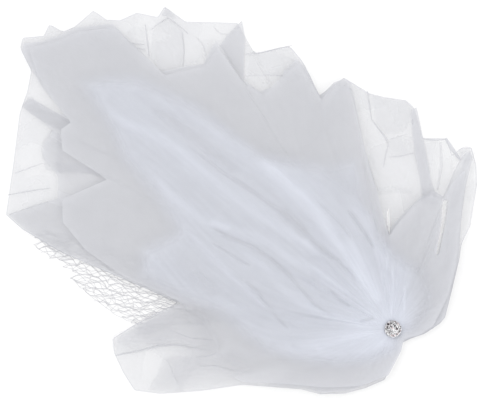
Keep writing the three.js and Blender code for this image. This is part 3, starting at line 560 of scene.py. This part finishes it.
def settled(height):
    """Lets what lies close to the floor come to rest on it."""
    return LYING_LOW + SETTLING * np.logaddexp(0, (height - LYING_LOW) / SETTLING)


def round_faces(columns, rows):
    index = np.arange(columns * rows).reshape(columns, rows)
    ahead = np.roll(index, -1, axis=0)
    faces = np.stack([index[:, :-1], index[:, 1:], ahead[:, 1:], ahead[:, :-1]], axis=-1)
    return faces.reshape(-1, 4)


def without_slits(points, faces):
    centre = points[faces].mean(axis=1)
    for slit in SLITS:
        keep = ~in_polygon(centre[:, 0], centre[:, 1], from_photo(slit))
        faces, centre = faces[keep], centre[keep]
    return faces


def tier_sheet(spec):
    """A tier's surface from its hole to its hem, and what its weave needs at each point."""
    tier = Tier(spec["node"])
    tier.flattened(spec["keep"])
    upper = spec["name"] == "tulle_upper"
    share = np.linspace(0, 1, spec["rows"]) ** ROW_CROWDING
    turn, share = np.meshgrid(even_turns(tier, spec["columns"]), share, indexing="ij")
    reach = tier.reach(turn)
    radius = HOLE_RADIUS + (reach - HOLE_RADIUS) * share

    bent, wave, fading = pleated(spec, turn, share, radius)
    x = radius * np.cos(np.radians(bent))
    y = radius * np.sin(np.radians(bent))
    out = smooth(*CRUMPLE_STARTS, radius)
    z = tier.height(bent, radius) + wave + out * crumpled(spec, x, y)

    rim, _ = distance_to_line(x, y, np.concatenate([tier.hem, tier.hem[:1]]))
    gathered = np.exp(-((radius - COLLAR_RADIUS) / GATHER_FADE).clip(0) ** GATHER_POWER)
    _, _, facets = chance_cells(x, y, spec["cell"] * FACET_CELL, spec["seed"] + 2)
    density = spec["density"] + spec["facets"] * facets * out
    density = density + GATHER_DENSER * gathered
    density = density + PLEAT_TONES * fading * line_noise(turn, spec["seed"] + 7, TONE_KNOTS)
    density = hem_changes(spec, density, bent, radius, reach, rim, out)
    # Painted light: lighter and bluer where the gathered cloth lies thick
    tint_and_painted_light = GATHER_PAINTED_LIGHT * gathered
    strand = bent
    if upper:
        strand = strand_turn(bent, radius)
        height, density, tint_and_painted_light = folded(spec, density, gathered, strand, x, y, radius, rim, out)
        z = z + height

    points = np.stack([x, y, settled(z)], axis=-1).reshape(-1, 3)
    faces = round_faces(*turn.shape)
    if not upper:
        faces = without_slits(points, faces)
    marks = dict(cover=density.ravel(), tint_and_painted_light=tint_and_painted_light.ravel(),
                 rim=rim.ravel() + spec["plain_hem"], strand=strand.ravel() * spec["strands"])
    return tier, points, faces, marks


def lie_on(tier, x, y, lift):
    """The point of a tier's surface at X and Y, lifted a little."""
    turn = math.degrees(math.atan2(y, x))
    turn = turn + 360 if turn < TURN_SPLIT else turn
    radius = min(math.hypot(x, y), float(tier.reach(np.array([turn]))[0]))
    height = float(tier.height(np.array([turn]), np.array([radius]))[0])
    return (x, y, float(settled(height)) + lift)


def flap(tier, shape):
    """A wider stretch of tulle folded over, with a crisp outline."""
    outline = from_photo(shape["px"])
    corners = [Vector(point) for point in outline]
    low, high = outline.min(axis=0), outline.max(axis=0)
    grid_x, grid_y = np.meshgrid(np.arange(low[0], high[0], FLAP_GRID),
                                 np.arange(low[1], high[1], FLAP_GRID))
    inside = in_polygon(grid_x, grid_y, outline)
    points = corners + [Vector(p) for p in zip(grid_x[inside], grid_y[inside])]
    ring = list(range(len(corners)))
    found, _, faces, *_ = delaunay_2d_cdt(points, [], [ring], 1, FLAP_MERGE)
    return [lie_on(tier, p.x, p.y, FLAP_LIFT) for p in found], faces


def strip(tier, fold):
    """A narrow doubled fold that lies on its tier."""
    line = from_photo(fold["px"])
    lengths = np.concatenate([[0], np.cumsum(np.hypot(*np.diff(line, axis=0).T))])
    count = max(int(lengths[-1] / CREASE_STEP), 6)
    spots = np.linspace(0, lengths[-1], count)
    middle = np.stack([np.interp(spots, lengths, line[:, k]) for k in (0, 1)], axis=1)
    width = np.interp(spots, lengths, fold["width"]) * 0.001
    ahead = np.gradient(middle, axis=0)
    ahead /= np.linalg.norm(ahead, axis=1)[:, None]
    side = np.stack([-ahead[:, 1], ahead[:, 0]], axis=1)
    points = []
    for spot, wide, out in zip(middle, width, side):
        for share, up in zip(CREASE_ACROSS, CREASE_RISE):
            x, y = spot + out * wide * share
            points.append(lie_on(tier, x, y, up))
    index = np.arange(len(points)).reshape(-1, len(CREASE_ACROSS))
    faces = np.stack([index[:-1, :-1], index[1:, :-1], index[1:, 1:], index[:-1, 1:]], axis=-1)
    return points, faces.reshape(-1, 4).tolist()


def tulle_piece(spec, material):
    tier, points, faces, marks = tier_sheet(spec)
    points, faces = points.tolist(), faces.tolist()
    folds = [(strip(tier, fold), fold["cover"]) for fold in CREASES.get(spec["name"], [])]
    folds += [(flap(tier, shape), shape["cover"]) for shape in FLAPS.get(spec["name"], [])]
    for (more_points, more_faces), cover in folds:
        faces += [[k + len(points) for k in face] for face in more_faces]
        points += more_points
        added = dict(cover=cover, tint_and_painted_light=0.0, rim=FAR_FROM_RIM, strand=0.0)
        for name, value in added.items():
            marks[name] = np.append(marks[name], np.full(len(more_points), value))
    piece = plain_mesh(spec["name"], points, faces)
    shade_smooth(piece)
    for name, values in marks.items():
        set_attribute(piece, name, values)
    piece.data.materials.append(material)
    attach(piece, BODY)
    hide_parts(spec["node"])
    return piece


def new_material(name):
    material = bpy.data.materials.new(name)
    material.use_nodes = True
    nodes, links = material.node_tree.nodes, material.node_tree.links
    shader = nodes["Principled BSDF"]
    return material, nodes, links, shader


def set_inputs(node, values):
    for name, value in values.items():
        node.inputs[name].default_value = value


def object_place(nodes):
    return nodes.new("ShaderNodeTexCoord").outputs["Object"]


def attribute(nodes, name):
    node = nodes.new("ShaderNodeAttribute")
    node.attribute_name = name
    return node.outputs["Fac"]


def math_node(nodes, links, operation, first, second):
    node = nodes.new("ShaderNodeMath")
    node.operation = operation
    for socket, value in zip(node.inputs, (first, second)):
        if isinstance(value, (int, float)):
            socket.default_value = value
        else:
            links.new(value, socket)
    return node.outputs[0]


def noise_texture(nodes, links, place, scale, detail=2.0, dimensions="3D"):
    node = nodes.new("ShaderNodeTexNoise")
    node.noise_dimensions = dimensions
    set_inputs(node, {"Scale": scale, "Detail": detail})
    links.new(place, node.inputs["Vector"])
    return node.outputs["Fac"]


def map_range(nodes, links, value, low, high, start=0.0, end=1.0):
    """low at start, high at end, and even steps between."""
    node = nodes.new("ShaderNodeMapRange")
    set_inputs(node, {"From Min": start, "From Max": end, "To Min": low, "To Max": high})
    links.new(value, node.inputs["Value"])
    return node.outputs["Result"]


def colour_ramp(nodes, links, value, first, last, between=()):
    """Each stop is its position and its colour."""
    node = nodes.new("ShaderNodeValToRGB")
    elements = node.color_ramp.elements
    for element, (position, colour) in zip(elements, (first, last)):
        element.position = position
        element.color = (*colour, 1)
    for position, colour in between:
        elements.new(position).color = (*colour, 1)
    links.new(value, node.inputs["Fac"])
    return node.outputs["Color"]


def add_bump(nodes, links, shader, height, strength, distance):
    bump = nodes.new("ShaderNodeBump")
    set_inputs(bump, {"Strength": strength, "Distance": distance})
    links.new(height, bump.inputs["Height"])
    links.new(bump.outputs["Normal"], shader.inputs["Normal"])


WEAVE_CELLS = 850  # cells of the tulle for each metre
CLOUDS = 22  # soft patches for each metre
STREAKS_ACROSS = 0.30  # streaks for each degree of turn
STREAKS_ALONG = 9.0  # streaks for each metre outwards
RIM_FROM, RIM_TO = 0.0007, 0.0016  # the denser rim fades between these distances
RIM_DENSER = 0.38
# The tulle's grey and its lighter blue; their mix holds the upper tier's own blue and painted
# light and shade
TULLE_DULL = (0.588, 0.594, 0.628)
TULLE_BRIGHT = (0.722, 0.75, 0.832)


def weave_threads(nodes, links, place):
    """The tulle's cells: denser at their edges."""
    weave = nodes.new("ShaderNodeTexVoronoi")
    weave.feature = "DISTANCE_TO_EDGE"
    weave.voronoi_dimensions = "2D"
    set_inputs(weave, {"Scale": WEAVE_CELLS, "Randomness": 0.25})
    links.new(place, weave.inputs["Vector"])
    return map_range(nodes, links, weave.outputs["Distance"],
                     low=1.2, high=0.88, start=0.05, end=0.22)


def streaks(nodes, links, place):
    """Fine streaks along the strands, from their turn and the distance to the gather."""
    outward = nodes.new("ShaderNodeVectorMath")
    outward.operation = "LENGTH"
    links.new(place, outward.inputs[0])
    turn = math_node(nodes, links, "MULTIPLY", attribute(nodes, "strand"), STREAKS_ACROSS)
    reach = math_node(nodes, links, "MULTIPLY", outward.outputs["Value"], STREAKS_ALONG)
    along = nodes.new("ShaderNodeCombineXYZ")
    links.new(turn, along.inputs["X"])
    links.new(reach, along.inputs["Y"])
    fine = noise_texture(nodes, links, along.outputs["Vector"], 1, detail=2, dimensions="2D")
    return map_range(nodes, links, fine, low=0.955, high=1.045, start=0.3, end=0.7)


def tulle_material():
    material, nodes, links, shader = new_material("tulle_weave")
    place = object_place(nodes)
    cloud = noise_texture(nodes, links, place, CLOUDS, detail=4, dimensions="2D")
    body = attribute(nodes, "cover")
    for share in (weave_threads(nodes, links, place),
                  map_range(nodes, links, cloud, low=0.95, high=1.05),
                  streaks(nodes, links, place)):
        body = math_node(nodes, links, "MULTIPLY", body, share)
    rim = map_range(nodes, links, attribute(nodes, "rim"), RIM_DENSER, 0.0, RIM_FROM, RIM_TO)
    alpha = math_node(nodes, links, "ADD", body, rim)
    alpha.node.use_clamp = True
    links.new(alpha, shader.inputs["Alpha"])

    # Base colour: the upper tier's own blue tint, with painted light and shade on folds, gather
    # and side
    tint_and_painted_light_mix = nodes.new("ShaderNodeMix")
    tint_and_painted_light_mix.data_type = "RGBA"
    tint_and_painted_light_mix.inputs[6].default_value = (*TULLE_DULL, 1)
    tint_and_painted_light_mix.inputs[7].default_value = (*TULLE_BRIGHT, 1)
    links.new(attribute(nodes, "tint_and_painted_light"), tint_and_painted_light_mix.inputs[0])
    links.new(tint_and_painted_light_mix.outputs[2], shader.inputs["Base Color"])
    add_bump(nodes, links, shader, cloud, strength=0.15, distance=0.001)
    set_inputs(shader, {"Roughness": 0.85, "Specular IOR Level": 0.2, "Sheen Weight": 0.05})
    return material


# The coarse net: lines of cells that run out from the gather, drawn together there
NET_TURNS = (161.0, 187.0)
NET_LINES = 26
NET_STEPS = 52
NET_STRAND = 0.00028
NET_SIDES = 4
NET_FROM = 0.014
NET_REACH = 0.55
NET_CROWDING = 0.9
NET_OPEN = 0.3  # distance from the gather beyond which it lies fully open
NET_WANDER, NET_WAVES = 0.96, 31  # degrees by which its lines wander; waves, radians a metre
NET_LOW = 0.0004
NET_LIFT, NET_LIFT_MOST = 0.0003, 1.5  # chance height of a knot, and its limit in such steps
NET_ASIDE = 0.30  # chance shift aside of a knot, in degrees
NET_SCATTER = 0.0030  # chance shift outwards of a knot
NET_BOW = 0.0011  # chance bow of a strand
NET_SEEDS = (3, 8)  # the net lies double
NET_BOW_SEED = 5
NET_OUTLINE_PX = [(390, 326), (40, 226), (31, 238), (33, 250), (50, 262), (66, 270), (70, 283),
                  (80, 292), (95, 304), (110, 312), (125, 324), (135, 335), (146, 338),
                  (182, 325), (390, 332)]


def net_points(seed):
    """Knots by their step outwards and their line."""
    rng = np.random.default_rng(seed)
    first, last = NET_TURNS
    points = {}
    for i in range(NET_STEPS):
        share = i / (NET_STEPS - 1)
        radius = NET_FROM + NET_REACH * share ** NET_CROWDING
        scrunch = min(radius / NET_OPEN, 1.0)
        wander = NET_WANDER * math.sin(radius * NET_WAVES + seed) * scrunch
        for j in range(NET_LINES):
            turn = first + (last - first) * (j + 0.5 * (i % 2)) / NET_LINES
            chance = rng.normal(0, 1, 3)
            along = radius + chance[0] * NET_SCATTER * scrunch
            side = math.radians(turn + wander + chance[1] * NET_ASIDE)
            height = NET_LOW + NET_LIFT * min(abs(chance[2]), NET_LIFT_MOST) * scrunch
            points[i, j] = (along * math.cos(side), along * math.sin(side), height)
    return points


def strand(start, end, thickness, bow):
    """A thin tube from start to end with a slight bow, as points and faces."""
    start, end = np.array(start), np.array(end)
    ahead = end - start
    side = np.array([-ahead[1], ahead[0], 0.0])
    side /= max(np.linalg.norm(side), 1e-9)
    middle = (start + end) / 2 + side * bow
    points = []
    for spot in (start, middle, end):
        for k in range(NET_SIDES):
            angle = 2 * math.pi * k / NET_SIDES
            points.append(spot + thickness * (side * math.cos(angle)
                                              + np.array([0, 0, 1.0]) * math.sin(angle)))
    faces = []
    for ring in range(2):
        for k in range(NET_SIDES):
            a, b = ring * NET_SIDES + k, ring * NET_SIDES + (k + 1) % NET_SIDES
            faces.append((a, b, b + NET_SIDES, a + NET_SIDES))
    return points, faces


NET_UNDER = 0.0012  # the strands stay this far under the solid net's top
NET_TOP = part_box("coarse_net")[1][2] - NET_UNDER
NET_FALL_FROM = 0.042
NET_FALL = 0.12  # distance over which the net comes down from the comb


def net_height(x, y):
    """The net comes down from the comb to the floor."""
    fallen = max(0.0, math.hypot(x, y) - NET_FALL_FROM) / NET_FALL
    return NET_TOP * max(0.0, 1 - fallen)


def net_piece():
    outline = from_photo(NET_OUTLINE_PX)
    all_points, all_faces = [], []
    rng = np.random.default_rng(NET_BOW_SEED)
    for seed in NET_SEEDS:
        knots = net_points(seed)
        for (i, j), here in knots.items():
            for step in (0, 1) if i % 2 else (-1, 0):
                there = knots.get((i + 1, j + step))
                if there is None:
                    continue
                ends = np.array([here, there])
                if not in_polygon(ends[:, 0], ends[:, 1], outline).all():
                    continue
                lifted = [(p[0], p[1], p[2] + net_height(p[0], p[1])) for p in (here, there)]
                points, faces = strand(*lifted, NET_STRAND, rng.normal(0, NET_BOW))
                all_faces += [tuple(k + len(all_points) for k in face) for face in faces]
                all_points += points
    piece = plain_mesh("net_strands", all_points, all_faces)
    shade_smooth(piece)
    piece.data.materials.append(net_material())
    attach(piece, BODY)
    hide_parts("coarse_net")


def net_material():
    material, nodes, links, shader = new_material("net_thread")
    noise = noise_texture(nodes, links, object_place(nodes), 900)
    colour = colour_ramp(nodes, links, noise, (0.0, (0.52, 0.52, 0.54)),
                         (1.0, (0.70, 0.70, 0.73)))
    links.new(colour, shader.inputs["Base Color"])
    add_bump(nodes, links, shader, noise, strength=0.4, distance=0.0002)
    set_inputs(shader, {"Roughness": 0.8})
    return material


STONE_GLINT_CELLS = 430  # cells of painted glints and dark reflections on the stones, for each metre


def setting_material():
    material, nodes, links, shader = new_material("cast_setting")
    noise = noise_texture(nodes, links, object_place(nodes), 700, detail=3)
    # Silver metal mottled with painted shade: the near black patches stand for dark gaps between
    # the stones
    colour = colour_ramp(nodes, links, noise, (0.35, (0.03, 0.028, 0.03)),
                         (0.55, (0.86, 0.85, 0.87)))
    links.new(colour, shader.inputs["Base Color"])
    roughness = map_range(nodes, links, noise, low=0.12, high=0.4)
    links.new(roughness, shader.inputs["Roughness"])
    add_bump(nodes, links, shader, noise, strength=0.3, distance=0.0002)
    set_inputs(shader, {"Metallic": 1.0})
    return material


def stone_material():
    material, nodes, links, shader = new_material("cut_stone")
    facets = nodes.new("ShaderNodeTexVoronoi")
    set_inputs(facets, {"Scale": STONE_GLINT_CELLS})
    links.new(object_place(nodes), facets.inputs["Vector"])
    split = nodes.new("ShaderNodeSeparateColor")
    links.new(facets.outputs["Color"], split.inputs["Color"])
    # Painted reflections: each cell near black, pink-grey or white, as dark reflections and glints
    # of the cut
    colour = colour_ramp(nodes, links, split.outputs["Red"], (0.235, (0.012, 0.010, 0.011)),
                         (0.52, (1.0, 1.0, 1.0)), [(0.38, (0.80, 0.62, 0.64))])
    links.new(colour, shader.inputs["Base Color"])
    set_inputs(shader, {"Roughness": 0.05, "Metallic": 0.9, "IOR": 1.75})
    return material


def comb_material():
    material, nodes, links, shader = new_material("comb_plastic")
    noise = noise_texture(nodes, links, object_place(nodes), 120)
    colour = colour_ramp(nodes, links, noise, (0.0, (0.78, 0.77, 0.74)),
                         (1.0, (0.86, 0.85, 0.82)))
    links.new(colour, shader.inputs["Base Color"])
    set_inputs(shader, {"Roughness": 0.3})
    return material


def dress_node(name, material):
    node = NODES[name]
    node.data.materials.clear()
    node.data.materials.append(material)


def dress_hard_parts():
    dress_node("hair_comb", comb_material())
    dress_node("brooch_setting", setting_material())
    stone = stone_material()
    for name in NODES:
        if name.startswith("stone_"):
            dress_node(name, stone)


def make_floor():
    far = FLOOR_HALF
    corners = [(-far, -far), (far, -far), (far, far), (-far, far)]
    floor = plain_mesh("floor", [(x, y, FLOOR_HEIGHT) for x, y in corners], [(0, 1, 2, 3)])
    material, _, _, shader = new_material("floor_white")
    set_inputs(shader, {"Base Color": (0.52, 0.52, 0.52, 1), "Emission Color": (1, 1, 1, 1),
                        "Emission Strength": 0.44, "Roughness": 0.9,
                        "Specular IOR Level": 0.0})
    floor.data.materials.append(material)


# Studio lights: where they stand from the photograph's middle, and their power
LIGHTS = [
    dict(name="key", aside=-1.5, up=1.6, height=2.4, power=36),
    dict(name="fill", aside=1.8, up=-1.2, height=2.2, power=22),
]
LIGHT_SIZE = 2.8


def add_area_light(name, place, aim, power):
    data = bpy.data.lights.new(name, "AREA")
    data.shape = "SQUARE"
    data.size = LIGHT_SIZE
    data.energy = power
    light = bpy.data.objects.new(name, data)
    bpy.context.scene.collection.objects.link(light)
    light.location = place
    toward = np.array(aim) - np.array(place)
    yaw = math.atan2(toward[1], toward[0])
    tilt = math.atan2(math.hypot(toward[0], toward[1]), -toward[2])
    light.rotation_euler = (tilt, 0, yaw - math.pi / 2)


FRAME_MIDDLE = from_photo([(PHOTO_SIZE_PX[0] / 2, PHOTO_SIZE_PX[1] / 2)])[0].tolist()
CAMERA_LENS = 135.0
CAMERA_SENSOR = 36.0
CAMERA_LEVEL = 0.012  # height of the plane that the photograph's scale holds for


def make_camera():
    width = PHOTO_SIZE_PX[0] * METRE_PER_PX
    data = bpy.data.cameras.new("camera")
    data.lens = CAMERA_LENS
    data.sensor_width = CAMERA_SENSOR
    data.clip_end = 50
    camera = bpy.data.objects.new("camera", data)
    bpy.context.scene.collection.objects.link(camera)
    camera.location = (*FRAME_MIDDLE, CAMERA_LEVEL + width * CAMERA_LENS / CAMERA_SENSOR)
    bpy.context.scene.camera = camera


def make_light():
    world = bpy.data.worlds.new("studio")
    world.use_nodes = True
    set_inputs(world.node_tree.nodes["Background"], {"Color": (1, 1, 1, 1), "Strength": 0.93})
    bpy.context.scene.world = world
    x, y = FRAME_MIDDLE
    for light in LIGHTS:
        place = (x + light["aside"], y + light["up"], light["height"])
        add_area_light(light["name"], place, (x, y, 0), light["power"])


bpy.context.scene.view_settings.view_transform = "Standard"
bpy.context.scene.cycles.transparent_max_bounces = 64

make_camera()
make_light()
make_floor()
dress_hard_parts()
weave = tulle_material()
pieces = [tulle_piece(spec, weave) for spec in TIERS]
net_piece()
